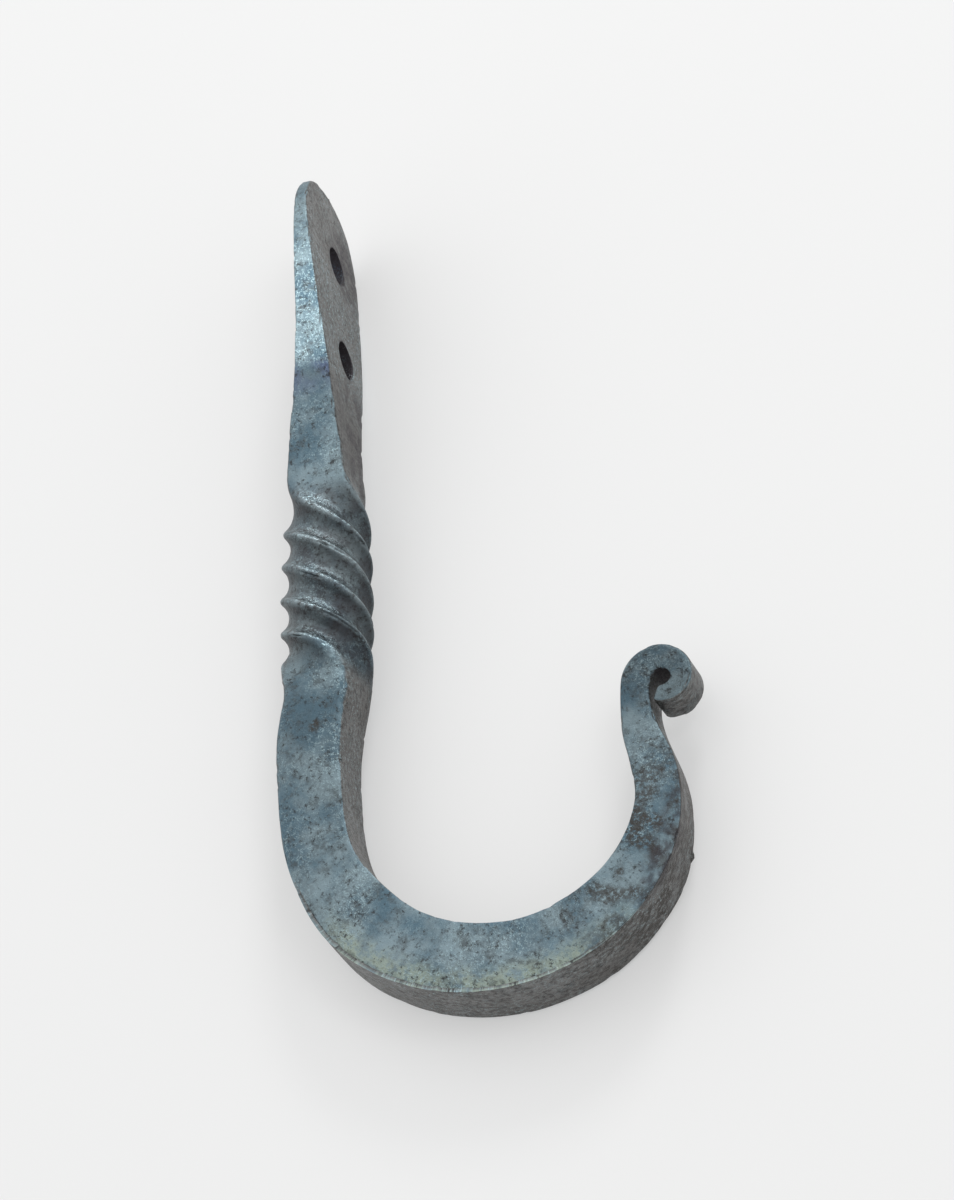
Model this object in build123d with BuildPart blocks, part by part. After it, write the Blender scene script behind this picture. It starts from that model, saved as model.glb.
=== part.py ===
from build123d import *
import math
import os

os.makedirs("parts", exist_ok=True)

# A wall hook hand forged from one square steel bar. Millimetres, +Z up.
# +X points away from the wall, and the hook's flat near and far sides face -Y and +Y.
# The origin is midway between the two screw holes, on the flat back of the leaf.

# --- driving dimensions ---------------------------------------------------------------
bar = 12.7                # half-inch square stock
twist_arris = 1.9         # edge rounding of the twist
arris = 1.1               # edge rounding of the rest of the bar
arris_run = 12.0          # length over which the one rounding becomes the other

hole_radius = 3.85        # punched screw holes, for a 6 to 7 mm wood screw
hole_spacing = 24.0       # centre to centre, up the leaf
set_over = 1.9            # the holes stand this far off the bar's middle, towards +Y
bar_x = 1.8               # the bar's axis stands this far out from the leaf's back
swing = 1.4               # degrees that the bend stands off square to the leaf, towards +Y

leaf_top = 28.2           # tip of the leaf
leaf_root = -47.0         # where the drawn-down leaf meets the full square bar
leaf_half_width = 14.8    # at the widest point, level with the upper hole
leaf_tip_thick = 2.2
flat_back_end = -13.0     # below this the back of the leaf swells out to the bar
leaf_rim = 0.8            # rounding of the rim of the leaf

twist_end = -86.4         # foot of the twist
twist_turn = 450.0        # five quarter turns, left handed
twist_ease = 0.02         # how softly the twist starts and stops
twist_sections = 37
twist_swell = 1.1         # the bar thickens where it is twisted
foot_swell = 0.6          # and a little more towards its foot

# The bar below the twist, bend by bend: radius of the bar's axis, and degrees turned.
# Positive turns bend the bar up towards +X, negative ones bend it back.
bends = [
    (35.6, -9.8),         # shank leans out a little
    (70.1, 10.5),         # and comes back to plumb
    (124.0, 3.4),
    (37.5, 51.4),         # the round of the hook, tightening towards the point
    (31.7, 36.5),
    (28.7, 70.6),
    (23.7, 30.7),
    (64.0, 3.3),
    (29.2, -24.4),        # the neck, bent back outwards
    (5.6, -36.0),         # the scroll
    (3.9, -120.0),
    (3.5, -133.0),
]
# How the bar is drawn out: distance from the twist, reach of its inner and its outer side
# from the bar's axis, and depth.
drawn_out = [
    (0.0, 6.70, 6.70, 13.4),
    (14.0, 6.15, 6.45, 12.6),
    (24.0, 6.25, 6.10, 12.5),
    (32.0, 6.00, 6.30, 12.5),   # the round is set a little outwards
    (40.0, 5.50, 6.85, 12.6),
    (50.0, 5.85, 7.85, 12.7),
    (62.0, 5.65, 7.50, 12.7),
    (74.0, 5.65, 6.80, 12.7),
    (84.0, 5.50, 6.20, 12.7),
    (96.0, 5.20, 5.80, 12.7),
    (104.0, 4.65, 5.50, 12.4),
    (112.0, 4.25, 5.15, 11.9),
    (120.0, 4.05, 4.30, 10.9),
    (127.0, 4.15, 3.80, 9.9),
    (134.0, 3.55, 3.25, 8.9),
    (140.0, 2.85, 2.70, 8.2),
    (146.0, 3.05, 2.70, 7.9),
    (152.0, 2.80, 2.50, 7.8),
    (158.0, 2.00, 2.00, 7.7),
    (168.0, 1.30, 1.30, 7.5),
]
section_every = 9.0       # degrees of bend between one section and the next
longest_run = 4.0         # and never further apart than this along the bar

bar_y = -set_over
swung = math.radians(swing)
across = (-math.sin(swung), math.cos(swung), 0)
bar_plane = Plane(
    origin=(bar_x, bar_y, 0),
    x_dir=(math.cos(swung), math.sin(swung), 0),
    z_dir=(math.sin(swung), -math.cos(swung), 0),
)


def bar_size(distance):
    """Inner reach, outer reach and depth of the drawn-out bar at a distance from the twist."""
    for before, after in zip(drawn_out, drawn_out[1:]):
        if distance <= after[0]:
            share = (distance - before[0]) / (after[0] - before[0])
            return [v0 + share * (v1 - v0) for v0, v1 in zip(before[1:], after[1:])]
    return list(drawn_out[-1][1:])


# --- leaf: the end of the bar hammered out flat, seen square on in the YZ plane ----------
with BuildPart() as leaf:
    with BuildSketch(Plane.YZ.offset(-bar)) as leaf_outline:
        with BuildLine():
            side = Spline(
                (bar_y + bar / 2, leaf_root),
                (bar_y + bar / 2 + 1.1, leaf_root + 14),
                (bar_y + leaf_half_width - 5.0, leaf_root + 25.7),
                (bar_y + leaf_half_width - 2.0, leaf_root + 38.5),
                (bar_y + leaf_half_width, leaf_top - 15),
                (bar_y + leaf_half_width - 2.7, leaf_top - 7),
                (bar_y, leaf_top),
                tangents=[(0, 1), (-1, 0)],
            )
            mirror(side, about=Plane.YZ.offset(bar_y))
            Line(side @ 0, (bar_y - bar / 2, leaf_root))
        make_face()
    extrude(amount=3 * bar)
    # Seen from the side the leaf is a wedge: thin at the tip, the full bar at its root.
    with BuildSketch(Plane.XZ) as leaf_profile:
        with BuildLine():
            front = Spline(
                (bar_x + bar / 2, leaf_root),
                (bar_x + 5.4, leaf_root + 8),
                (bar_x + 4.3, leaf_root + 20),
                (bar_x + 3.4, leaf_root + 34),
                (bar_x + 2.1, leaf_root + 50),
                (leaf_tip_thick, leaf_top),
            )
            Line(front @ 1, (0, leaf_top))
            Line((0, leaf_top), (0, flat_back_end))
            back = Spline(
                (0, flat_back_end),
                (bar_x - 4.6, leaf_root + 17.5),
                (bar_x - 5.9, leaf_root + 8),
                (bar_x - bar / 2, leaf_root),
                tangents=[(0, -1), (0, -1)],
            )
            Line(back @ 1, front @ 0)
        make_face()
    extrude(amount=2 * leaf_half_width, both=True, mode=Mode.INTERSECT)
    rim = leaf.edges().filter_by(lambda edge: edge.center().Z > flat_back_end)
    fillet(rim, leaf_rim)

# --- twist: the square bar turned hot through five quarter turns --------------------------
with BuildPart() as twist:
    for i in range(twist_sections + 1):
        share = i / twist_sections
        turned = share - twist_ease * math.sin(2 * math.pi * share)
        angle = math.radians((twist_turn + swing) * turned)
        height = leaf_root + share * (twist_end - leaf_root)
        section_plane = Plane(
            origin=(bar_x, bar_y, height),
            x_dir=(math.cos(angle), math.sin(angle), 0),
            z_dir=(0, 0, 1),
        )
        with BuildSketch(section_plane):
            swollen = bar + twist_swell * math.sin(math.pi * share) + foot_swell * share
            RectangleRounded(swollen, swollen, twist_arris)
    loft()

# --- bend: shank, round, drawn-out arm and scroll, in one length of bar --------------------
with BuildLine(bar_plane) as bar_axis:
    point = (0, twist_end)
    heading = (0, -1)
    for radius, turn in bends:
        arc = JernArc(start=point, tangent=heading, radius=radius, arc_size=turn)
        point = arc @ 1
        heading = arc % 1

with BuildPart() as bend:
    travelled = 0.0
    for arc, (radius, turn) in zip(bar_axis.edges(), bends):
        steps = math.ceil(max(abs(turn) / section_every, arc.length / longest_run))
        first = 0 if travelled == 0 else 1
        for i in range(first, steps + 1):
            distance = travelled + arc.length * i / steps
            inner, outer, depth = bar_size(distance)
            width = inner + outer
            rounding = arris + (twist_arris - arris) * max(0, 1 - distance / arris_run)
            section_plane = Plane(
                origin=arc @ (i / steps),
                x_dir=across,
                z_dir=arc % (i / steps),
            )
            with BuildSketch(section_plane):
                with Locations((0, (inner - outer) / 2)):
                    RectangleRounded(depth, width, min(rounding, 0.25 * width))
        travelled += arc.length
    loft()

# --- the hook is one forging, so the three stretches of bar are one solid ------------------
with BuildPart() as forged_hook:
    add(leaf)
    add(twist)
    add(bend)
    with BuildSketch(Plane.YZ.offset(-bar)) as screw_holes:
        with GridLocations(0, hole_spacing, 1, 2):
            Circle(hole_radius)
    extrude(amount=3 * bar, mode=Mode.SUBTRACT)

forged_hook.part.label = "forged_hook"
export_step(forged_hook.part, "parts/forged_hook.step")
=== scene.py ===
# %% [markdown]
# # A hand-forged wall hook
# The real hook is one length of square steel bar. A smith hammers one end out to a flat leaf and
# punches it for screws, twists the bar below it, bends the rest to a round, and draws the point out
# thin to curl it into a scroll. Nothing is joined on, so there is one piece here too.
# This lesson follows the smith's order: a straight bar first, and then each forging step moves it.
# The exact CAD part comes in first. It is the frame that the finished look has to stay inside.

# %% Bring in the exact part
import math

import bmesh
import bpy
import numpy as np
from mathutils import Matrix, Vector, noise


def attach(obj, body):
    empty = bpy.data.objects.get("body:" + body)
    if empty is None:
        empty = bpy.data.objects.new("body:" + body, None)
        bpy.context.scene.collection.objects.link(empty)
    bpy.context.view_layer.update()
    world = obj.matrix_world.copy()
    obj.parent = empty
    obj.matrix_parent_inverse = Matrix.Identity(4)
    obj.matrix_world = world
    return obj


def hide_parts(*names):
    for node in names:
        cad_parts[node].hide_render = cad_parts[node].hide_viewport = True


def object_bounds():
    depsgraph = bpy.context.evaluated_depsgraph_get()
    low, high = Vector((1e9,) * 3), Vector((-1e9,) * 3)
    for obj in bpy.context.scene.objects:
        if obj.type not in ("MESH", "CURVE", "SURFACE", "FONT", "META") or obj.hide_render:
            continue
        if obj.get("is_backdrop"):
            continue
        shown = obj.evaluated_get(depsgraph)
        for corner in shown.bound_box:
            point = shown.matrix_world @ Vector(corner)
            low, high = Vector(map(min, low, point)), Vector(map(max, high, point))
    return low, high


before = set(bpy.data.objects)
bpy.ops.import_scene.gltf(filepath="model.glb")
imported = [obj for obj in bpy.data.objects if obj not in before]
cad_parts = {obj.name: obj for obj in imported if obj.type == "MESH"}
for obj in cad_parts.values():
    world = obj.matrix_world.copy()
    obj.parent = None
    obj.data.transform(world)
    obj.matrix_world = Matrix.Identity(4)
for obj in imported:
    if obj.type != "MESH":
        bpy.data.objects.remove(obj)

cad_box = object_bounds()
print("exact part, mm:", [[round(c * 1000, 2) for c in corner] for corner in cad_box])

# %% [markdown]
# ## The measures
# Lengths are in millimetres and are turned to metres once, at the end. The bar's middle line stands a
# little out from the wall and a little to one side of the screw holes, as on the exact part.
# Shapes that flow, such as the leaf's outline, are tables of marks with a smooth curve through them,
# the way a smith would chalk a few points and join them by eye.

# %% Measures and a curve through marks
MM = 0.001
STOCK = 12.7                       # half-inch square bar
BAR_X, BAR_Y = 1.8, -1.9           # the bar's middle line
LEAF_TOP, LEAF_ROOT = 28.2, -47.0
TWIST_FOOT = -86.4
HOLE_RADIUS, HOLE_SPACING = 3.85, 24.0
SWING = math.radians(1.4)          # the hook's bend stands this far off square to the leaf
TWIST_TURN = 450                   # degrees: five quarter turns
NEAR_SIDE = -6.3                   # where the near side lies through the bar


def curve_through(marks, at):
    """Values of a smooth curve through (place, value) marks, at the places given."""
    places, values = np.array(marks, float).T
    slopes = np.gradient(values, places)
    at = np.clip(at, places[0], places[-1])
    i = np.clip(np.searchsorted(places, at) - 1, 0, len(places) - 2)
    span = places[i + 1] - places[i]
    t = (at - places[i]) / span
    rise = values[i + 1] - values[i]
    start, end = slopes[i] * span, slopes[i + 1] * span
    return values[i] + t * start + t * t * (3 * rise - 2 * start - end) + t**3 * (start + end - 2 * rise)


def eased(low, high, at):
    """0 below low, 1 above high, and a soft rise between."""
    t = np.clip((at - low) / (high - low), 0, 1)
    return t * t * (3 - 2 * t)


print("bar", STOCK, "mm square, leaf", LEAF_TOP - LEAF_ROOT, "mm long")

# %% [markdown]
# ## The straight bar
# Bar stock comes from the mill dead straight, so it starts as a stretched cube with open ends. Its four
# long edges are cut into hundreds of rings, and then the four sides of every ring into short edges.
# Cutting a cube is used and not an extrusion ring by ring, because two calls make every ring.
# The rings are only numbered so far: their real spacing comes with the drawing out.

# %% Square bar, cut into rings
EDGES_PER_SIDE = 30
LEAF_RINGS, TWIST_RINGS, BEND_RINGS = 172, 130, 338
RINGS = LEAF_RINGS + TWIST_RINGS + BEND_RINGS
bar = bmesh.new()
bmesh.ops.create_cube(bar, size=2)
bmesh.ops.translate(bar, verts=bar.verts[:], vec=(0, 0, -1))
bmesh.ops.scale(bar, verts=bar.verts[:], vec=(1, 1, (RINGS - 1) / 2))
ends = [face for face in bar.faces if abs(face.normal.z) > 0.5]
bmesh.ops.delete(bar, geom=ends, context="FACES_ONLY")
lengthwise = [edge for edge in bar.edges if edge.calc_length() > 3]
bmesh.ops.subdivide_edges(bar, edges=lengthwise, cuts=RINGS - 2)
round_the_bar = [edge for edge in bar.edges if edge.calc_length() > 1.5]
bmesh.ops.subdivide_edges(bar, edges=round_the_bar, cuts=EDGES_PER_SIDE - 1)
hook_mesh = bpy.data.meshes.new("forged_hook_steel")
bar.to_mesh(hook_mesh)
bar.free()
print("straight bar:", len(hook_mesh.vertices), "vertices in", RINGS, "rings")

# %% [markdown]
# ## Reading each point's place in the stock
# Every later step asks where a point sits: which ring along the bar, and where round the square.
# Both are read off the straight bar once. Along the leaf the rings follow the leaf's rim, so they
# crowd together round its tip, and further on they are evenly spaced along the bar's middle line.

# %% Ring numbers and places along the bar
straight = np.zeros(len(hook_mesh.vertices) * 3)
hook_mesh.vertices.foreach_get("co", straight)
straight = straight.reshape(-1, 3)
ring = np.rint(-straight[:, 2]).astype(int)
across_x, across_y = straight[:, 0], straight[:, 1]
in_leaf = ring < LEAF_RINGS
in_twist = (ring >= LEAF_RINGS) & (ring < LEAF_RINGS + TWIST_RINGS)
in_bend = ring >= LEAF_RINGS + TWIST_RINGS
print("points in leaf, twist and bend:", in_leaf.sum(), in_twist.sum(), in_bend.sum())

# %% [markdown]
# ## Drawing out: the size of the bar along its length
# A smith draws a bar out by hammering it thinner. The leaf is wide and thin at its tip and goes back
# to the full square at its root. The twist thickens a little, and past the round the bar tapers to the
# scroll. Each ring gets half its thickness, half its width and the radius of its corners.

# %% Leaf outline, leaf thickness and the bar's taper
# distance round the rim from the tip, half width, height
leaf_rim = [
    (0, 0.0, 28.2), (3.5, 3.5, 28.05), (7, 6.9, 27.3), (11, 10.4, 25.2), (15, 12.75, 21.95), (20, 14.5, 17.3),
    (24, 14.8, 13.35), (29, 14.55, 8.35), (35, 14.0, 2.35), (41, 13.3, -3.6), (47, 12.35, -9.55),
    (53, 11.1, -15.4), (59, 9.8, -21.25), (65, 8.55, -27.15), (71, 7.45, -33.1), (77, 6.6, -39.1),
    (84.9, 6.3, -47.0),
]
RIM_LENGTH = leaf_rim[-1][0]
# height, place of the leaf's front and of its back
leaf_front = [
    (-47.0, 8.15), (-42.6, 7.65), (-38.1, 7.05), (-32.6, 6.5), (-25.0, 6.0), (-18.0, 5.6), (-11.6, 5.1),
    (-5.0, 4.5), (4.2, 3.8), (17.9, 2.75), (28.2, 2.2),
]
leaf_back = [
    (-47.0, -4.6), (-43.4, -4.5), (-39.0, -4.15), (-34.8, -3.75), (-30.8, -3.15), (-26.8, -2.5),
    (-22.8, -1.95), (-18.8, -1.4), (-14.7, -0.95), (-10.5, -0.6), (-6.0, -0.4), (0.0, -0.25), (7.0, -0.15),
    (28.2, -0.05),
]
# distance from the twist, reach of the inner side, reach of the outer side, depth
drawn_out = [
    (0, 6.7, 6.7, 13.4), (6, 6.35, 6.35, 12.9), (14, 6.15, 6.45, 12.6), (24, 6.25, 6.1, 12.5),
    (32, 6, 6.3, 12.5), (40, 5.5, 6.85, 12.6), (50, 5.85, 7.85, 12.7), (62, 5.65, 7.5, 12.7),
    (74, 5.65, 6.8, 12.7), (84, 5.5, 6.2, 12.7), (96, 5.2, 5.8, 12.7), (104, 4.65, 5.5, 12.4),
    (112, 4.25, 5.15, 11.9), (120, 4.05, 4.3, 10.9), (127, 4.15, 3.8, 9.9), (134, 3.55, 3.25, 8.9),
    (140, 2.85, 2.7, 8.2), (146, 2.85, 2.7, 7.9), (152, 2.5, 2.5, 7.8), (158, 2, 2, 7.7),
    (168, 1.3, 1.3, 7.5),
]
# height on the bar, measured on down the bend, and rounding of its edges
corner_radius = [
    (-260.0, 0.75), (-110.0, 0.75), (-96.0, 1.1), (-86.0, 2.2), (-70.0, 2.8), (-54.0, 2.4), (-46.0, 1.6),
    (-38.0, 1.0), (-20.0, 0.7), (28.2, 0.6),
]
print("marks for the leaf's rim and the taper:", len(leaf_rim), "and", len(drawn_out))

# %% [markdown]
# ## One section of the bar
# Every section is a rectangle with rounded corners. The unit square's sides are shared out: the middle
# two thirds of a side make the flat, and the rest makes the corner's arc, so that the edges of the
# bar get enough points to look soft. Near the leaf's tip the rim turns round, and its rounding has
# to lean with it, so the section also takes the rim's own direction.

# %% Rounded section
FLAT_SHARE = 2 / 3


def section(half_thick, half_wide, corner, rim_y=1.0, hollow=0.0):
    """Thickness place, width place and distance in from the rim, for every point of the bar."""
    on_face = np.abs(across_x) >= np.abs(across_y)
    along = np.where(on_face, across_y, across_x)
    flat = np.clip(np.abs(along) / FLAT_SHARE, 0, 1)
    turned = np.clip((np.abs(along) - FLAT_SHARE) / (1 - FLAT_SHARE), 0, 1) * math.pi / 4
    sag = hollow * (1 - flat * flat)
    in_from_rim = np.where(on_face, corner * (1 - np.sin(turned)), corner * (1 - np.cos(turned)) + sag)
    thick = np.where(
        on_face,
        np.sign(across_x) * (half_thick - corner * (1 - np.cos(turned)) - sag),
        np.sign(across_x) * (flat * (half_thick - corner) + corner * np.sin(turned)),
    )
    flat_across = np.where(on_face, flat, 1.0)
    wide = np.sign(across_y) * ((half_wide - corner * rim_y) * flat_across + (corner - in_from_rim) * rim_y)
    return thick, wide, in_from_rim


# %% [markdown]
# ## The middle line of the bend
# Below the twist the smith bends the bar over the anvil's horn in one go, tighter towards the point,
# then sets the neck back and curls the scroll. So the middle line is a chain of arcs, each with its own
# radius, and each starting in the direction that the last one ended in.

# %% Chain of arcs
bends = [
    (35.6, -9.8), (70.1, 10.5), (124.0, 3.4), (37.5, 51.4), (31.7, 36.5), (28.7, 70.6), (23.7, 30.7),
    (64.0, 3.3), (29.2, -24.4), (5.6, -36.0), (3.9, -120.0), (3.5, -133.0),
]


def along_the_bend(distance):
    """Middle line's x and z, and its direction as an angle, at distances from the twist's foot."""
    x, z, angle = (np.zeros_like(distance) for _ in range(3))
    at_x, at_z, heading, travelled = BAR_X, TWIST_FOOT, -math.pi / 2, 0.0
    for radius, degrees in bends:
        turn = math.radians(degrees)
        side = radius * math.copysign(1, turn)
        here = distance >= travelled
        gone = heading + (distance[here] - travelled) / side
        x[here] = at_x + side * (np.sin(gone) - math.sin(heading))
        z[here] = at_z - side * (np.cos(gone) - math.cos(heading))
        angle[here] = gone
        at_x += side * (math.sin(heading + turn) - math.sin(heading))
        at_z -= side * (math.cos(heading + turn) - math.cos(heading))
        heading += turn
        travelled += radius * abs(turn)
    return x, z, angle


BEND_LENGTH = sum(radius * math.radians(abs(degrees)) for radius, degrees in bends)
print("bar below the twist, mm:", round(BEND_LENGTH, 1))

# %% [markdown]
# ## The leaf's rim
# A hammered leaf has a soft rim all round, and at its tip the rim runs straight across the bar. So the
# leaf's rings are spaced along the rim and not along the bar, and the way the rim runs is read off the
# outline a short way on. Below the leaf's root the rim is simply the side of the bar.

# %% Which way the rim runs
rim_distance = RIM_LENGTH * ring / LEAF_RINGS
rim_half = curve_through([(d, half) for d, half, _ in leaf_rim], rim_distance)
rim_height = curve_through([(d, height) for d, _, height in leaf_rim], rim_distance)
step = 0.05                        # a short way on, to read the rim's direction
rim_y = -(curve_through([(d, h) for d, _, h in leaf_rim], rim_distance + step) - rim_height)
rim_z = curve_through([(d, w) for d, w, _ in leaf_rim], rim_distance + step) - rim_half
length = np.maximum(np.hypot(rim_y, rim_z), 1e-9)
rim_y, rim_z = rim_y / length, rim_z / length
rim_y[rim_distance == 0], rim_z[rim_distance == 0] = 0, 1
past_root = ring >= LEAF_RINGS
rim_y[past_root], rim_z[past_root] = 1, 0
print("leaf, widest, mm:", (2 * rim_half.max()).round(2))

# %% [markdown]
# ## How big each ring is
# Hammering a bar one way spreads it the other way, so thickness and width are given apart. The twist
# swells a little where the metal was wrung, and its faces sink between their edges. The scroll's end is
# dressed round with a few light blows. One section function then turns the sizes into points.

# %% Thickness and width of every ring
TWIST_SWELL, FOOT_SWELL, TWIST_HOLLOW = 0.55, 0.35, 0.25
END_ROUNDING = 0.9                 # rounding of the scroll's end

twist_share = np.clip((ring - LEAF_RINGS) / TWIST_RINGS, 0, 1)
bend_distance = np.clip((ring - LEAF_RINGS - TWIST_RINGS) / (BEND_RINGS - 1), 0, 1) * BEND_LENGTH
height = np.where(in_leaf, rim_height, LEAF_ROOT + twist_share * (TWIST_FOOT - LEAF_ROOT))
corner = curve_through(corner_radius, height - bend_distance)
_, _, in_from_rim = section(6, 6, corner)
height = height - in_from_rim * rim_z * in_leaf

twist_bulge = np.sin(math.pi * twist_share)
swell = TWIST_SWELL * twist_bulge + FOOT_SWELL * twist_share
half_front = curve_through(leaf_front, height)
half_back = curve_through(leaf_back, height)
half_thick = np.where(in_leaf, (half_front - half_back) / 2, STOCK / 2 + swell)
half_wide = np.where(in_leaf, rim_half, STOCK / 2 + swell)
inner = curve_through([(d, reach) for d, reach, _, _ in drawn_out], bend_distance)
outer = curve_through([(d, reach) for d, _, reach, _ in drawn_out], bend_distance)
bend_wide, bend_shift = (inner + outer) / 2, (inner - outer) / 2
bend_deep = curve_through([(d, deep / 2) for d, _, _, deep in drawn_out], bend_distance)
end_gap = np.clip(END_ROUNDING - (BEND_LENGTH - bend_distance), 0, END_ROUNDING)
end_round = END_ROUNDING - np.sqrt(END_ROUNDING**2 - end_gap**2)
half_thick = np.where(in_bend, bend_deep - end_round, half_thick)
half_wide = np.where(in_bend, bend_wide - end_round, half_wide)
corner = np.minimum(corner, 0.3 * np.minimum(half_thick, half_wide) * np.where(in_bend, 1, 9))
thick, wide, _ = section(half_thick, half_wide, corner, rim_y, hollow=-TWIST_HOLLOW * twist_bulge)
print("thickest, mm:", (2 * half_thick.max()).round(2), "and widest", (2 * half_wide.max()).round(2))

# %% [markdown]
# ## Forging the bar
# Now the straight bar takes its shape in three stretches. The leaf's rings follow its rim. The twist's
# rings are turned about the bar's middle line, five quarter turns to the left, starting softly. The
# bend's rings are set square on the chain of arcs. The far side of the scroll is pushed over a little.

# %% Leaf, twist and bend
SCROLL_LEAN = 0.098                # the scroll's far side is pushed over by this share of its depth

# height on the bar, degrees turned
twist_marks = [
    (-300.0, 450), (-110.0, 450), (-102.0, 450), (-96.0, 450), (-91.0, 448.5), (-87.5, 443.5), (-84.5, 433.5),
    (-82.0, 418), (-75.2, 330.5), (-68.0, 240.5), (-60.5, 150.5), (-53.2, 62), (-50.0, 31), (-47.0, 11),
    (-43.5, 0), (-38.0, 0), (-30.0, 0), (29.0, 0),
]
turn = np.radians(curve_through(twist_marks, height - bend_distance)) * (1 + SWING / math.radians(TWIST_TURN))
turn -= SWING * in_bend
centre_x = np.where(in_leaf, (half_front + half_back) / 2 - BAR_X, 0)
off_x, off_y = centre_x + thick, wide
turned_x = off_x * np.cos(turn) - off_y * np.sin(turn)
turned_y = off_x * np.sin(turn) + off_y * np.cos(turn)
line_x, line_z, heading = along_the_bend(bend_distance)
skew = SCROLL_LEAN * eased(128, 146, bend_distance) * turned_y
forged = np.empty_like(straight)
inward = turned_x + bend_shift
reach = line_x - BAR_X - inward * np.sin(heading) + skew
forged[:, 0] = BAR_X + np.where(in_bend, reach * math.cos(SWING) - turned_y * math.sin(SWING), turned_x)
forged[:, 1] = BAR_Y + np.where(in_bend, reach * math.sin(SWING) + turned_y * math.cos(SWING), turned_y)
forged[:, 2] = np.where(in_bend, line_z + inward * np.cos(heading), height)
hook_mesh.vertices.foreach_set("co", forged.ravel())
hook_mesh.update()
print("forged, mm:", forged.min(0).round(2), forged.max(0).round(2))

# %% [markdown]
# ## Closing the ends
# At the leaf's tip the first ring has closed up to a line, so its doubles are merged. The scroll's end
# is still an open ring: it is filled and its face is split to its middle, as a sawn end would look.
# Merging comes first and turning the faces outwards second, because the merge makes the shell whole.

# %% Merge the tip and fill the scroll's end
along = np.where(in_bend, bend_distance - TWIST_FOOT, -height)
hook_mesh.attributes.new("stock", "FLOAT_VECTOR", "POINT").data.foreach_set(
    "vector", np.column_stack([thick, wide, along]).ravel())
arris = np.minimum(np.abs(across_x), np.abs(across_y))
arris = eased(FLAT_SHARE - 0.12, 0.95, arris)
hook_mesh.attributes.new("arris", "FLOAT", "POINT").data.foreach_set("value", arris)
shell = bmesh.new()
shell.from_mesh(hook_mesh)
bmesh.ops.remove_doubles(shell, verts=shell.verts[:], dist=0.0005)
open_edges = [edge for edge in shell.edges if edge.is_boundary]
filled = bmesh.ops.holes_fill(shell, edges=open_edges, sides=0)
bmesh.ops.poke(shell, faces=filled["faces"])
bmesh.ops.recalc_face_normals(shell, faces=shell.faces[:])
shell.to_mesh(hook_mesh)
shell.free()
print("closed", len(open_edges), "open edges")

# %% [markdown]
# ## Hammer work
# Hand forging leaves the faces slightly uneven: long soft waves from the hammer, small dents, and nicks
# along the edges. Points are moved along their normals, by smooth noise read at their place in the
# stock, so that the marks follow the bar round the bend. The moves are a tenth of a millimetre or
# so, mostly inwards, because a blow never adds metal. Under the round the near side's outer edge is
# hammered down further, and on the arm's far outer edge a small burr stands up.

# %% Waves, dents and nicks
WAVE_DEPTH, RIPPLE_DEPTH, DENT_DEPTH, NICK_DEPTH, WORN_DEPTH = 0.10, 0.05, 0.25, 1.1, 0.75
BURR_AT, BURR_SIZE, BURR_HEIGHT = (6.0, 4.7, 201.0), (1.7, 1.5, 1.3), 0.45
count = len(hook_mesh.vertices)


def read(name, width, kind):
    """A point attribute as an array."""
    values = np.zeros(count * width)
    hook_mesh.attributes[name].data.foreach_get(kind, values)
    return values.reshape(-1, width) if width > 1 else values


def noise_at(places, size, seed):
    """Smooth noise from about -1 to 1, with waves of the given size in millimetres."""
    shift = Vector((seed * 7.3, seed * 3.1, seed * 5.7))
    return np.array([noise.noise(Vector(p) / size + shift) for p in places])


def read_normals():
    """The direction that each point faces."""
    facing = np.zeros(count * 3)
    hook_mesh.vertex_normals.foreach_get("vector", facing)
    return facing.reshape(-1, 3)


stock, arris, shaped = read("stock", 3, "vector"), read("arris", 1, "value"), read("position", 3, "vector")
normals = read_normals()
waves = WAVE_DEPTH * noise_at(stock, 9.0, 1) + RIPPLE_DEPTH * noise_at(stock, 3.5, 2)
dents = DENT_DEPTH * np.clip(noise_at(stock, 2.6, 3) - 0.42, 0, None)
nicks = NICK_DEPTH * arris * np.clip(noise_at(stock, 1.7, 4) - 0.25, 0, 0.5)
outward, down_bend = stock[:, 1], stock[:, 2] + TWIST_FOOT
under_round = eased(28, 48, down_bend) * (1 - eased(88, 106, down_bend))
worn = eased(0.8, 6.6, outward) ** 2 * under_round * (normals[:, 1] < -0.3)
settle = np.clip(waves - 0.06, None, 0.03) - dents - nicks - WORN_DEPTH * worn
burr = np.linalg.norm((stock - BURR_AT) / BURR_SIZE, axis=1)
settle += BURR_HEIGHT * (1 - eased(0.2, 1.0, burr))
hammered = shaped + normals * settle[:, None]
hook_mesh.vertices.foreach_set("co", (hammered * MM).ravel())
hook_mesh.update()
print("hammered, mm:", hammered.min(0).round(2), hammered.max(0).round(2))

# %% [markdown]
# ## Punching the screw holes
# The smith punches both holes hot, from the front, which leaves round walls with soft, rounded mouths. The
# punch is a spun profile: the hole's radius in the middle, a quarter round at each face and a wider head
# outside the steel. It is cut away with a Boolean, since a cut through an uneven skin can't be drawn by
# hand.

# %% Punch
MOUTH = 0.35                       # rounding of the mouths
BACK_MOUTH_IN, FRONT_MOUTH_IN = 0.06, 0.12
BACK_HEAD, FRONT_HEAD = 0.66, 0.72  # how far outside the mouths the punch's head starts
HEAD_WIDER, PUNCH_REACH = 1.0, 14.0


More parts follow.
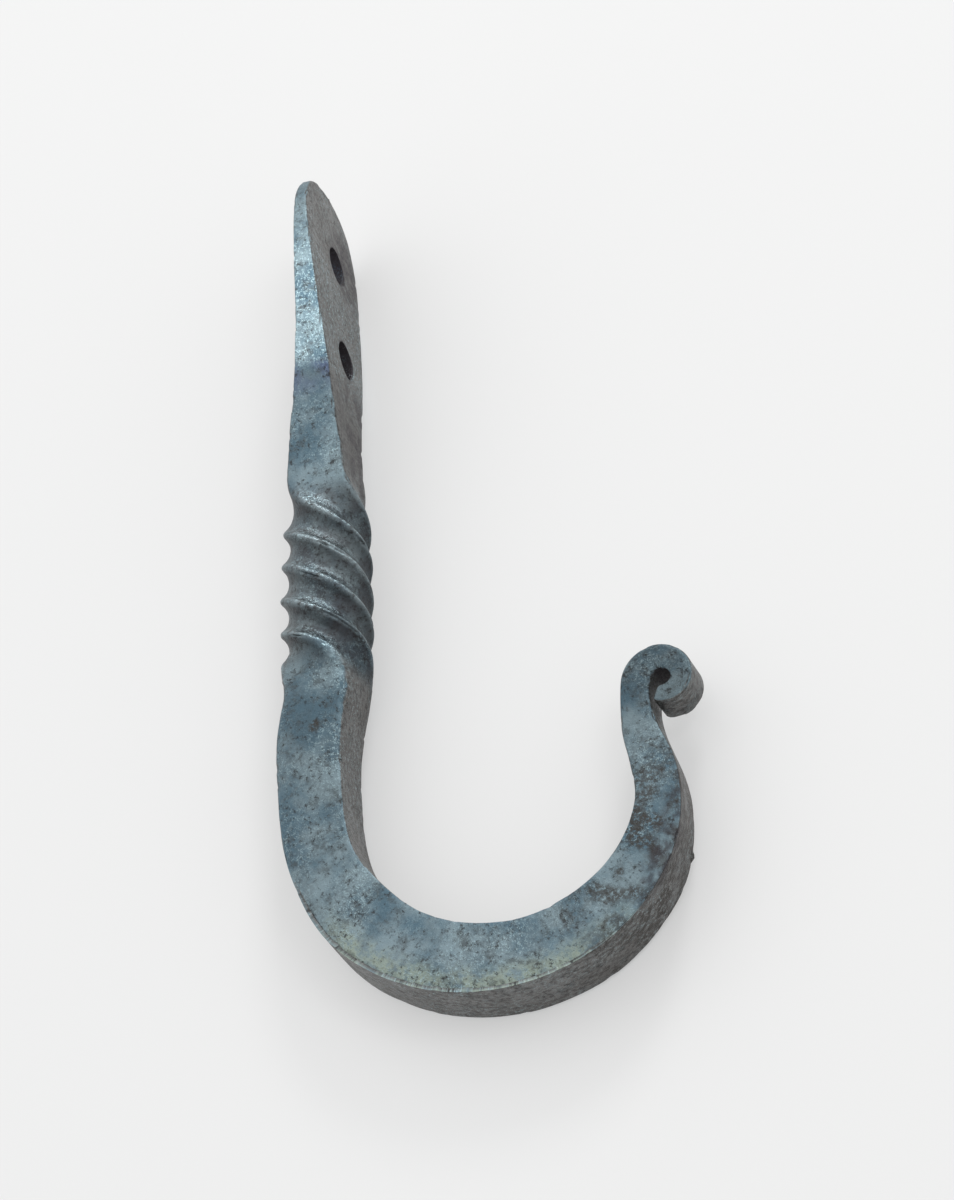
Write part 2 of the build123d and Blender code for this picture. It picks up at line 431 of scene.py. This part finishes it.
def punch_at(height):
    """The punch's profile at a height on the leaf: places along X, and radius there."""
    back, front = (curve_through(marks, np.array([height]))[0] for marks in (leaf_back, leaf_front))
    back, front = back + BACK_MOUTH_IN, front - FRONT_MOUTH_IN
    head = HOLE_RADIUS + HEAD_WIDER
    leans = np.linspace(0, math.pi / 2, 5)
    mouth = [(MOUTH * (1 - math.cos(lean)), HOLE_RADIUS + MOUTH * (1 - math.sin(lean))) for lean in leans]
    profile = [(-PUNCH_REACH, 0.0), (-PUNCH_REACH, head), (back - BACK_HEAD, head)]
    profile += [(back + inward, radius) for inward, radius in mouth]
    profile += [(front - inward, radius) for inward, radius in reversed(mouth)]
    profile += [(front + FRONT_HEAD, head), (PUNCH_REACH, head), (PUNCH_REACH, 0.0)]
    return profile


def spun(profile, centre_z, name):
    """A closed shape spun about a line along X."""
    shape = bmesh.new()
    line = [shape.verts.new((out * MM, 0, (centre_z + radius) * MM)) for out, radius in profile]
    edges = [shape.edges.new(pair) for pair in zip(line, line[1:])]
    bmesh.ops.spin(shape, geom=line + edges, cent=(0, 0, centre_z * MM), axis=(1, 0, 0),
                   angle=2 * math.pi, steps=64, use_merge=True, use_duplicate=False)
    bmesh.ops.remove_doubles(shape, verts=shape.verts[:], dist=1e-6)
    bmesh.ops.recalc_face_normals(shape, faces=shape.faces[:])
    mesh = bpy.data.meshes.new(name)
    shape.to_mesh(mesh)
    shape.free()
    return bpy.data.objects.new(name, mesh)


print("punch at the upper hole has", len(punch_at(HOLE_SPACING / 2)), "marks in its profile")

# %% [markdown]
# ## Driving the punch through
# The two holes are punched one after the other, and each cut is made final before the next. Smooth
# shading comes after the cuts, with a crease kept wherever two faces meet sharply.

# %% Cut both holes
SHARP_FROM = math.radians(38)      # edges sharper than this stay creased

hook = bpy.data.objects.new("forged_hook_steel", hook_mesh)
bpy.context.scene.collection.objects.link(hook)
for centre_z in (HOLE_SPACING / 2, -HOLE_SPACING / 2):
    punch = spun(punch_at(centre_z), centre_z, "punch")
    bpy.context.scene.collection.objects.link(punch)
    cut = hook.modifiers.new("punched", "BOOLEAN")
    cut.operation, cut.solver, cut.object = "DIFFERENCE", "EXACT", punch
    bpy.context.view_layer.update()
    shown = hook.evaluated_get(bpy.context.evaluated_depsgraph_get())
    punched = bpy.data.meshes.new_from_object(shown)
    hook.modifiers.remove(cut)
    hook.data = punched
    bpy.data.objects.remove(punch)
hook.data.name = "forged_hook_steel"
hook_mesh = hook.data
hook_mesh.polygons.foreach_set("use_smooth", [True] * len(hook_mesh.polygons))
hook_mesh.set_sharp_from_angle(angle=SHARP_FROM)
hook_mesh.update()
print("after punching:", len(hook_mesh.vertices), "vertices")

# %% [markdown]
# ## Where the colours go
# Forge scale and heat colours aren't the same all over. The broad sides get blue and the inner and outer
# sides brown-grey: a painted reflection, set by which way each face points. Along the bar some lengths are
# paler and some darker, partly from uneven heat and partly as painted light. The twist's valleys and the
# undersides of its ridges get painted shade, and their upper sides a painted highlight. The bend's near edge
# is brightened, partly as rubbed wear and partly as a painted highlight, and its outer edge gets painted
# shade.
# These places are stored on the points, and the steel reads them. Numbers at places along the bar are
# used and not a picture, so that the colours follow the metal.

# %% Sides, tone and hollows
count = len(hook_mesh.vertices)
placed, stock = read("position", 3, "vector") / MM, read("stock", 3, "vector")
arris, normals = read("arris", 1, "value"), read_normals()
along = stock[:, 2]
on_twist = eased(44, 49, along) * (1 - eased(83, 88, along))
down_bend = along + TWIST_FOOT
near = normals[:, 1] * math.cos(SWING) - normals[:, 0] * math.sin(SWING) < 0
# Painted reflection: flank says how far each point faces sideways, and the skin is blue where it is low and
# brown-grey where it is high.
flank = (1 - eased(0.5, 0.74, np.abs(normals[:, 1]))) * (1 - 0.75 * on_twist)
flank = np.maximum(flank, 0.4 * on_twist * (1 - eased(78, 85, along)))
outward = np.where(down_bend > 0, stock[:, 1], 0)
# Paleness along the bar is partly uneven heat colour and partly painted light from how each length's faces
# turn to the lamps; the bright length on the leaf is partly a painted highlight.
# place along the bar, paleness of the broad sides, paleness of the inner and outer sides
tones = [
    (-28.2, 0.82, 0.9), (-16, 0.88, 0.9), (-9, 1.2, 0.86), (0, 1.54, 0.82), (12, 1.5, 0.82), (19, 1.3, 0.78),
    (21, 0.84, 0.76), (26, 0.84, 0.66), (38, 0.88, 0.58), (50, 0.84, 0.80), (80, 0.84, 0.80),
    (92, 0.72, 0.84), (104, 0.72, 0.84), (125, 0.79, 0.84), (150, 0.88, 0.84), (170, 0.85, 0.84),
    (186, 0.80, 0.80), (204, 0.74, 0.76), (222, 0.66, 0.76), (232, 0.50, 0.78), (256, 0.52, 0.66),
]
broad = curve_through([(at, pale) for at, pale, _ in tones], along)
narrow = curve_through([(at, pale) for at, _, pale in tones], along)
tone_and_painted_light = broad + (narrow - broad) * flank
unbent = np.column_stack([BAR_X - stock[:, 1], BAR_Y + stock[:, 0], -along])
skin = np.where((along > -TWIST_FOOT)[:, None], unbent, placed)
hook_mesh.attributes.new("skin", "FLOAT_VECTOR", "POINT").data.foreach_set("vector", skin.ravel())
# Painted shade in the twist's valleys and on the undersides of its ridges, and a painted highlight on their
# upper sides.
valley = on_twist * (1 - eased(0.05, 0.75, arris))
tone_and_painted_light *= 1 - 0.22 * valley + 0.04 * on_twist * arris
below_crest = on_twist * eased(-0.1, 0.75, -normals[:, 2])
above_crest = on_twist * eased(0.0, 0.35, normals[:, 2])
above_crest *= (1 - eased(-0.55, 0.1, normals[:, 1])) * eased(-0.5, 0.2, normals[:, 0])
tone_and_painted_light *= (1 - 0.5 * below_crest) * (1 + 0.7 * above_crest)
# Painted shade on the bend's outer edge; its near edge is brightened, partly as rubbed wear and partly as a
# painted highlight.
bend_edge = arris * (down_bend > 0)
tone_and_painted_light *= 1 - 0.4 * bend_edge * flank * (outward > 0)
tone_and_painted_light *= 1 + 0.28 * bend_edge * near * (normals[:, 1] < -0.4)
print("paleness from", round(float(tone_and_painted_light.min()), 2), "to", round(float(tone_and_painted_light.max()), 2))

# %% [markdown]
# ## Single marks
# Some marks are in one place only: dark scale on the arm and the shank, a painted sheen along the worn edge
# under the round, and the violet line on the leaf that shows where the heat stopped. Each is a soft spot or a
# length of the bar, broken up by noise, so that no edge looks painted.

# %% Scale, painted sheen and temper line
def spot(at, size):
    """A round soft spot about a place along, across and through the bar."""
    away = np.linalg.norm((np.column_stack([along, stock[:, 1], stock[:, 0]]) - at) / size, axis=1)
    return 1 - eased(0.3, 1.0, away)


def length_of_bar(start, full, fade, end):
    """1 on a length of the bar, measured on down the bend, with soft ends."""
    return eased(start, full, along) * (1 - eased(fade, end, along))


broken, cloudy, ragged = noise_at(skin, 3.0, 11), noise_at(skin, 8.0, 12), noise_at(skin, 1.2, 14)
near_face, front = (1 - flank) * near, normals[:, 0] > 0.3

arm_stain = spot((200, 3.5, NEAR_SIDE), (14, 4.0, 5.0))
shank_stain = spot((97.5, -1.0, NEAR_SIDE), (2.2, 1.6, 3.0))
scale = eased(-0.5, 0.25, broken + 0.5 * cloudy) * (0.2 + 0.8 * length_of_bar(174, 190, 206, 220))
scale *= np.where(along > 90, 1, 0.5)
scale = np.maximum.reduce([scale, 0.8 * arm_stain * eased(-0.5, 0.2, broken), shank_stain])

# Painted highlight: a pale sheen on the near face's worn outer edge under the round.
painted_sheen = near_face * eased(0.5, 4.5, outward) * length_of_bar(130, 142, 178, 192)
painted_sheen *= 1 - 0.5 * eased(0, 0.5, broken)
temper = near_face * length_of_bar(18.5, 21, 23, 27) * eased(-0.6, 0.3, cloudy + 0.5 * broken)
print("heavy scale on", round(float((scale > 0.5).mean()), 3), "of the points")

# %% [markdown]
# ## Stains, painted shade and painted glints
# The walls of the holes are darkened, and the scroll's eye gets painted shade. A stain sits beside the upper
# hole and an olive one on the arm. Dark lines down the leaf's foot, where the metal was drawn, are painted
# shade of shallow creases, and the twist's valleys get painted shade too. Sparkle says how bright the painted
# glints are on each length. All the marks are then stored on the points by name, which is how the steel finds
# them.

# %% Stains, painted shade and painted glints, and storing the marks
hole_away = np.minimum(*(np.hypot(placed[:, 1], placed[:, 2] - side * HOLE_SPACING / 2) for side in (1, -1)))
walls = 1 - eased(HOLE_RADIUS + 0.15, HOLE_RADIUS + 0.5, hole_away)
beside_upper = np.hypot((placed[:, 1] - 5.0) / 1.2, (placed[:, 2] - 14.0) / 1.5)
around = (1 - eased(3.5, 8.5, beside_upper)) * eased(-0.5, 0.1, ragged + 0.5 * broken) * front
olive = 0.75 * spot((199, 3.8, NEAR_SIDE), (15, 4.2, 5.0)) * eased(-0.35, 0.15, ragged + 0.4 * broken)
# Painted shade of shallow creases down the leaf's foot.
drawn_lines = np.column_stack([placed[:, 1] / 1.6, placed[:, 2] * 0.35, placed[:, 0]])
creases = eased(0.08, 0.18, np.clip(noise_at(drawn_lines, 1.6, 13), 0, 1)) * front
creases *= eased(-6.0, -1.5, placed[:, 1]) * length_of_bar(15, 22, 42, 48)
# Painted shade in the scroll's eye.
eye = eased(144, 150, down_bend) * eased(0.3, 1.2, outward) * flank
# Painted shade in the twist's valleys.
in_valleys = 0.45 * valley * eased(-0.2, 0.4, broken)
stain_and_painted_shade = np.maximum.reduce([walls, eye, olive, around, 0.75 * creases, in_valleys])
# Painted glints: how bright the specks are on each length, most on the ridges' upper sides and on the bright
# length of the leaf.
painted_sparkle = np.clip(0.35 + 0.9 * above_crest + 0.7 * cloudy + 0.9 * length_of_bar(-12, -4, 18, 21), 0.1, 1)

marks = {
    "flank": flank, "tone_and_painted_light": tone_and_painted_light, "scale": scale, "painted_sheen": painted_sheen,
    "temper": temper, "stain_and_painted_shade": stain_and_painted_shade, "painted_sparkle": painted_sparkle, "above": above_crest,
}
for name, values in marks.items():
    hook_mesh.attributes.new(name, "FLOAT", "POINT").data.foreach_set("value", values)
    print(name, "covers", round(float((values > 0.5).mean()), 3))

# %% [markdown]
# ## Short words for the finish
# The finish is built from a few moves made over and over: a soft step, one colour over another, and a
# noise. Each gets a short name, so that the steel's recipe below reads like a recipe.

# %% Finish helpers
def node(tree, kind, values=(), **settings):
    """Adds a node, sets its settings, and fills or links its numbered or named inputs."""
    made = tree.nodes.new(kind)
    for name, value in settings.items():
        setattr(made, name, value)
    for name, value in dict(values).items():
        if isinstance(value, bpy.types.NodeSocket):
            tree.links.new(value, made.inputs[name])
        else:
            made.inputs[name].default_value = value
    return made


def ramp(tree, value, low, high):
    """A soft step from 0 at low to 1 at high."""
    made = node(tree, "ShaderNodeMapRange", {"Value": value, "From Min": low, "From Max": high},
                interpolation_type="SMOOTHSTEP")
    return made.outputs["Result"]


def mixed(tree, share, first, second):
    """One colour over another."""
    made = node(tree, "ShaderNodeMix", data_type="RGBA")
    for index, value in ((0, share), (6, first), (7, second)):
        if isinstance(value, bpy.types.NodeSocket):
            tree.links.new(value, made.inputs[index])
        else:
            made.inputs[index].default_value = value
    return made.outputs[2]


def steel_noise(tree, place, scale, detail, rough):
    """Noise from 0 to 1, with its scale in waves a millimetre."""
    values = {"Vector": place, "Scale": scale, "Detail": detail, "Roughness": rough}
    return node(tree, "ShaderNodeTexNoise", values).outputs["Fac"]


def colour(red, green, blue):
    """A colour from its everyday 0 to 255 values."""
    return tuple(((shade / 255 + 0.055) / 1.055) ** 2.4 for shade in (red, green, blue)) + (1.0,)


print("finish helpers ready; mid grey is", round(colour(128, 128, 128)[0], 3))

# %% [markdown]
# ## The blued steel
# Heated steel grows a thin oxide skin. It is blue on the broad faces and brown-grey on the sides, a painted
# reflection set by which way each face points. Both skins drift paler and darker in slow clouds. The violet
# heat line and the painted sheen on the worn edge lie over them. Noise is read at each point's place in the
# bar and not at its place in the room, so that it bends with the metal.

# %% Blue and brown skin
steel = bpy.data.materials.new("blued_steel")
steel.use_nodes = True
tree = steel.node_tree
shader = tree.nodes["Principled BSDF"]


def mark(name):
    """The value of one of the marks stored on the points."""
    return node(tree, "ShaderNodeAttribute", attribute_name=name).outputs["Fac"]


def both_of(first, second):
    """One mask times another."""
    return node(tree, "ShaderNodeMath", {0: first, 1: second}, operation="MULTIPLY").outputs[0]


place = node(tree, "ShaderNodeAttribute", attribute_name="skin").outputs["Vector"]
cloud = steel_noise(tree, place, 0.10, 5.0, 0.6)
patch = steel_noise(tree, place, 0.42, 6.0, 0.68)
grain = steel_noise(tree, place, 1.5, 4.0, 0.7)
fine = steel_noise(tree, place, 4.2, 2.0, 0.6)
flecks = steel_noise(tree, place, 1.1, 5.0, 0.75)
blue = mixed(tree, ramp(tree, cloud, 0.36, 0.62), colour(84, 108, 121), colour(127, 145, 152))
brown = mixed(tree, ramp(tree, cloud, 0.36, 0.62), colour(106, 104, 102), colour(126, 126, 125))
# Painted reflection: blue on the broad faces, brown-grey on the sides.
base = mixed(tree, mark("flank"), blue, brown)
base = mixed(tree, both_of(mark("temper"), 0.75), base, colour(92, 104, 140))
# Painted sheen on the worn edge under the round.
base = mixed(tree, both_of(mark("painted_sheen"), ramp(tree, patch, 0.34, 0.6)), base, colour(160, 172, 158))
print("blue and brown skin:", len(tree.nodes), "nodes")

# %% [markdown]
# ## Specks, scale and stains
# Close up, the skin is a crowd of small marks. Bright specks are painted glints, hammer scale leaves dark
# ones, and the sides are mottled brown. They go on over the skin one kind at a time, each with its own noise,
# and the marks' paleness and painted light, scale, and stains and painted shade go on last, as scale and
# stains lie on top on the real steel.

# %% Specks, scale and stains
base = mixed(tree, both_of(ramp(tree, patch, 0.50, 0.66), 0.62), base, colour(74, 80, 82))
# Painted glints: bright specks, clumped by the painted sparkle mark.
painted_glint_clumps = both_of(both_of(mark("painted_sparkle"), ramp(tree, grain, 0.44, 0.58)), ramp(tree, fine, 0.48, 0.57))
base = mixed(tree, painted_glint_clumps, base, colour(176, 200, 206))
dark = both_of(ramp(tree, flecks, 0.54, 0.62), ramp(tree, patch, 0.36, 0.54))
base = mixed(tree, both_of(dark, 0.85), base, colour(50, 52, 54))
mottle = both_of(mark("flank"), ramp(tree, flecks, 0.47, 0.56))
base = mixed(tree, both_of(mottle, 0.6), base, colour(66, 62, 60))
pale = both_of(mark("flank"), ramp(tree, grain, 0.56, 0.66))
base = mixed(tree, both_of(pale, 0.35), base, colour(160, 160, 156))
# Paleness and painted light along the bar scale the colour.
toned = node(tree, "ShaderNodeVectorMath", {0: base, "Scale": mark("tone_and_painted_light")}, operation="SCALE").outputs[0]
spots = both_of(mark("scale"), ramp(tree, flecks, 0.42, 0.50))
scaled = mixed(tree, both_of(spots, 0.85), toned, colour(56, 52, 48))
# Stains, with painted shade in the valleys, the creases and the scroll's eye.
stained = mixed(tree, both_of(mark("stain_and_painted_shade"), ramp(tree, fine, 0.2, 0.5)), scaled, colour(50, 46, 50))
tree.links.new(stained, shader.inputs["Base Color"])
print("with specks, scale and stains:", len(tree.nodes), "nodes")

# %% [markdown]
# ## Shine and pits
# The oxide is dull where its grain is coarse and shinier where it was rubbed, so the roughness follows the
# same grain as the colour does. A slight bump from it makes the pits. The skin is thin and the steel shows
# through, so it is mostly metallic. Then the steel goes on, and the hook takes the exact part's place.

# %% Shine, pits and handing over
shader.inputs["Metallic"].default_value = 0.8
dull_range = {"Value": grain, "From Min": 0.3, "From Max": 0.7, "To Min": 0.33, "To Max": 0.58}
dull = node(tree, "ShaderNodeMapRange", dull_range).outputs["Result"]
rubbed = node(tree, "ShaderNodeMath", {0: mark("above"), 1: -0.14, 2: dull}, operation="MULTIPLY_ADD")
tree.links.new(rubbed.outputs[0], shader.inputs["Roughness"])
pitted = node(tree, "ShaderNodeMath", {0: fine, 1: 0.35, 2: grain}, operation="MULTIPLY_ADD").outputs[0]
bump = node(tree, "ShaderNodeBump", {"Height": pitted, "Strength": 0.8, "Distance": 0.00022})
tree.links.new(bump.outputs["Normal"], shader.inputs["Normal"])
hook_mesh.materials.clear()
hook_mesh.materials.append(steel)
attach(hook, "root")
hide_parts("forged_hook")
print("steel has", len(tree.nodes), "nodes")

# %% [markdown]
# ## The table
# The hook lies on its side on a white table, resting on the leaf's far edge and the bottom of the round.
# The table is one flat square behind it, tilted to touch both. It glows a little of its own, as a white
# table does in a room with light from every side, which keeps the shadows as faint as they are there.
# Its back is see-through, so that the hook can still be looked at from behind.

# %% Table
REST_LOW, REST_HIGH = Vector((0, 4.95, -152.0)), Vector((0, 13.15, 12.0))
slope = (REST_HIGH.y - REST_LOW.y) / (REST_HIGH.z - REST_LOW.z)
top = bmesh.new()
bmesh.ops.create_grid(top, x_segments=1, y_segments=1, size=3.0)
tilt = Matrix.Rotation(math.pi / 2 - math.atan(slope), 3, "X")
swing_round = Matrix.Rotation(SWING, 3, "Z")
bmesh.ops.rotate(top, verts=top.verts[:], cent=(0, 0, 0), matrix=tilt)
bmesh.ops.translate(top, verts=top.verts[:], vec=REST_LOW * MM)
bmesh.ops.rotate(top, verts=top.verts[:], cent=(BAR_X * MM, BAR_Y * MM, 0), matrix=swing_round)
table_mesh = bpy.data.meshes.new("table")
top.to_mesh(table_mesh)
top.free()
table = bpy.data.objects.new("table", table_mesh)
bpy.context.scene.collection.objects.link(table)
white = bpy.data.materials.new("white_table")
white.use_nodes = True
tree = white.node_tree
board = tree.nodes["Principled BSDF"]
board.inputs["Base Color"].default_value = (0.43, 0.43, 0.427, 1)
board.inputs["Roughness"].default_value = 0.8
board.inputs["Emission Color"].default_value = (1.0, 0.995, 0.99, 1)
board.inputs["Emission Strength"].default_value = 0.35
behind = node(tree, "ShaderNodeNewGeometry").outputs["Backfacing"]
clear = node(tree, "ShaderNodeBsdfTransparent").outputs[0]
both = node(tree, "ShaderNodeMixShader", {0: behind, 1: board.outputs[0], 2: clear})
tree.links.new(both.outputs[0], tree.nodes["Material Output"].inputs["Surface"])
table_mesh.materials.append(white)
table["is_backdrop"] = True
print("table faces", table_mesh.polygons[0].normal)

# %% [markdown]
# ## Light
# A large soft window high on the left gives the faint shadow on the right, and a pale room fills the
# rest. Two small lamps give the glints: one low on the right lights the worn edge under the round, and
# one far up over the leaf lights the upper sides of the twist's ridges.

# %% Light
def soft_light(name, place, size, power):
    """A square area light aimed at the middle of the hook."""
    data = bpy.data.lights.new(name, "AREA")
    data.size, data.energy = size, power
    lamp = bpy.data.objects.new(name, data)
    lamp.location = place
    lamp.rotation_euler = (Vector((0.03, 0, -0.06)) - lamp.location).to_track_quat("-Z", "Y").to_euler()
    bpy.context.scene.collection.objects.link(lamp)


soft_light("window", Vector((-0.75, -1.1, 0.7)), 1.6, 5.0)
soft_light("lamp", Vector((0.62, -1.0, 0.05)), 0.35, 1.2)
soft_light("ceiling lamp", Vector((0.34, -0.58, 1.06)), 0.3, 4.5)
world = bpy.data.worlds.new("pale room")
bpy.context.scene.world = world
world.use_nodes = True
world.node_tree.nodes["Background"].inputs[0].default_value = (0.98, 0.99, 1.0, 1)
world.node_tree.nodes["Background"].inputs[1].default_value = 0.9
bpy.context.scene.view_settings.view_transform = "Standard"
print("lights:", [light.name for light in bpy.data.lights])

# %% [markdown]
# ## Camera
# The camera looks at the near side of the hook, from a little to the right and from below its round, so
# that the leaf's front and the outside of the round both show. It is set by three angles and a distance
# and not by eye, so that the view can be measured again.

# %% Camera
AZIMUTH, ELEVATION, ROLL = math.radians(15.5) + SWING, math.radians(30.5), math.radians(-1.9)
REACH = 0.5                        # from the camera to the bar's middle, in metres
FOCAL, SENSOR = 79.5, 36           # millimetres
BESIDE, ABOVE = -28.21, 2.83       # the bar's middle lies this far beside and above the lens's line
sin_elevation, cos_elevation = math.sin(ELEVATION), math.cos(ELEVATION)
to_camera = Vector((math.sin(AZIMUTH) * cos_elevation, -math.cos(AZIMUTH) * cos_elevation, -sin_elevation))
level = Vector((math.cos(AZIMUTH), math.sin(AZIMUTH), 0))
upright = Vector((math.sin(AZIMUTH) * sin_elevation, -math.cos(AZIMUTH) * sin_elevation, cos_elevation))
right = level * math.cos(ROLL) + upright * math.sin(ROLL)
up = upright * math.cos(ROLL) - level * math.sin(ROLL)
target = Vector((BAR_X, BAR_Y, -64.5)) * MM
eye = target + REACH * to_camera - (BESIDE * right + ABOVE * up) * MM
lens = bpy.data.cameras.new("camera")
lens.sensor_fit, lens.sensor_width, lens.lens = "AUTO", SENSOR, FOCAL
lens.clip_start, lens.clip_end = 0.01, 20
camera = bpy.data.objects.new("camera", lens)
camera.matrix_world = Matrix.Translation(eye) @ Matrix((right, up, to_camera)).transposed().to_4x4()
bpy.context.scene.collection.objects.link(camera)
bpy.context.scene.camera = camera
print("camera at, mm:", [round(c * 1000, 1) for c in eye])

# %% [markdown]
# ## Size against the exact part
# The finished look has to stay in the exact part's box, so both boxes are written down side by side.

# %% Both boxes
show_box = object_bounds()
for name, box in (("exact", cad_box), ("shown", show_box)):
    print(name, [[round(c * 1000, 2) for c in corner] for corner in box])
